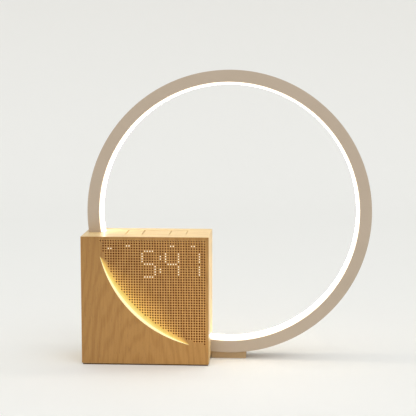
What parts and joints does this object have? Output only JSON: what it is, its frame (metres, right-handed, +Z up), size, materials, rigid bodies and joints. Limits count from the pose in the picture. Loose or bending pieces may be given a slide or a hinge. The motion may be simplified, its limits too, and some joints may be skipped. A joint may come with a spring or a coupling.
{
  "type": "alarm clock lamp",
  "caption": "Square wood alarm clock with a finely perforated clock front, a sloped crescent light and a large lit ring that enters its top and leaves its right side.",
  "frame": {"origin": "on the table, under the middle of the whole outline", "axes": "+Z up, -Y out of the clock front, +X to the viewer's right, on the side where the ring leaves the case"},
  "size_m": [0.227, 0.05, 0.2302],
  "materials": {
    "case_wood": "satin lacquered light wood, grain upright on the front",
    "front_wood": "satin lacquered light wood veneer, perforated",
    "key_wood": "satin lacquered light wood",
    "pad": "matt dark brown rubber sheet",
    "ring_metal": "satin anodised, champagne",
    "ring_cover": "opal light diffuser, satin",
    "arc_cover": "opal light diffuser, satin",
    "phosphor": "phosphor-filled silicone",
    "tape": "white solder resist on a thin tape",
    "led": "white light chips under resin",
    "board": "green solder resist",
    "chip": "moulded black resin",
    "black_plastic": "moulded, fine matt",
    "white_plastic": "moulded, satin",
    "cover_plastic": "moulded, matt brown",
    "socket_plastic": "moulded glass-filled, matt",
    "screw_steel": "zinc plated",
    "inlet_steel": "drawn, bright",
    "paper": "pressed paper",
    "foam": "closed-cell foam",
    "basket_steel": "black coated sheet",
    "magnet": "dark grey, matt",
    "cell_steel": "bright cell can",
    "flat_cable": "flat cable, satin",
    "foot_plastic": "matt dark brown rubber"
  },
  "bodies": {
    "case": {"case_shell": "case_wood", "front_panel": "front_wood", "base_pad": "pad", "key_board": "board", "key_switches": "black_plastic", "key_hangers": "white_plastic", "key_screws": "screw_steel", "ring_channel": "ring_metal", "ring_diffuser": "ring_cover", "ring_led_tape": "tape", "ring_led_bead": "phosphor", "ring_end_caps": "socket_plastic", "ring_socket_top": "socket_plastic", "ring_socket_low": "socket_plastic", "ring_grub_screws": "screw_steel", "ring_foot": "foot_plastic", "arc_diffuser": "arc_cover", "arc_led_bead": "phosphor", "arc_led_tape": "tape", "display_mask": "black_plastic", "display_board": "board", "display_leds": "led", "display_screws": "screw_steel", "speaker_gasket": "foam", "speaker_basket": "basket_steel", "speaker_cone": "paper", "speaker_magnet": "magnet", "speaker_screws": "screw_steel", "back_cover": "cover_plastic", "cover_blocks": "white_plastic", "cover_screws": "screw_steel", "main_board": "board", "main_chips": "chip", "board_screws": "screw_steel", "power_inlet": "inlet_steel", "cell_holder": "black_plastic", "backup_cell": "cell_steel", "display_ribbon": "flat_cable", "ribbon_sockets": "white_plastic"},
    "key_left": {"key_left": "key_wood"},
    "key_centre": {"key_centre": "key_wood"},
    "key_right": {"key_right": "key_wood"}
  },
  "joints": [
    {"name": "key_left_press", "type": "slide", "parent": "case", "child": "key_left", "axis": [0, 0, -1], "range_m": [0, 0.0006], "stiffness_N_per_m": 2000, "springref_m": -0.0003},
    {"name": "key_centre_press", "type": "slide", "parent": "case", "child": "key_centre", "axis": [0, 0, -1], "range_m": [0, 0.0006], "stiffness_N_per_m": 2000, "springref_m": -0.0003},
    {"name": "key_right_press", "type": "slide", "parent": "case", "child": "key_right", "axis": [0, 0, -1], "range_m": [0, 0.0006], "stiffness_N_per_m": 2000, "springref_m": -0.0003}
  ]
}
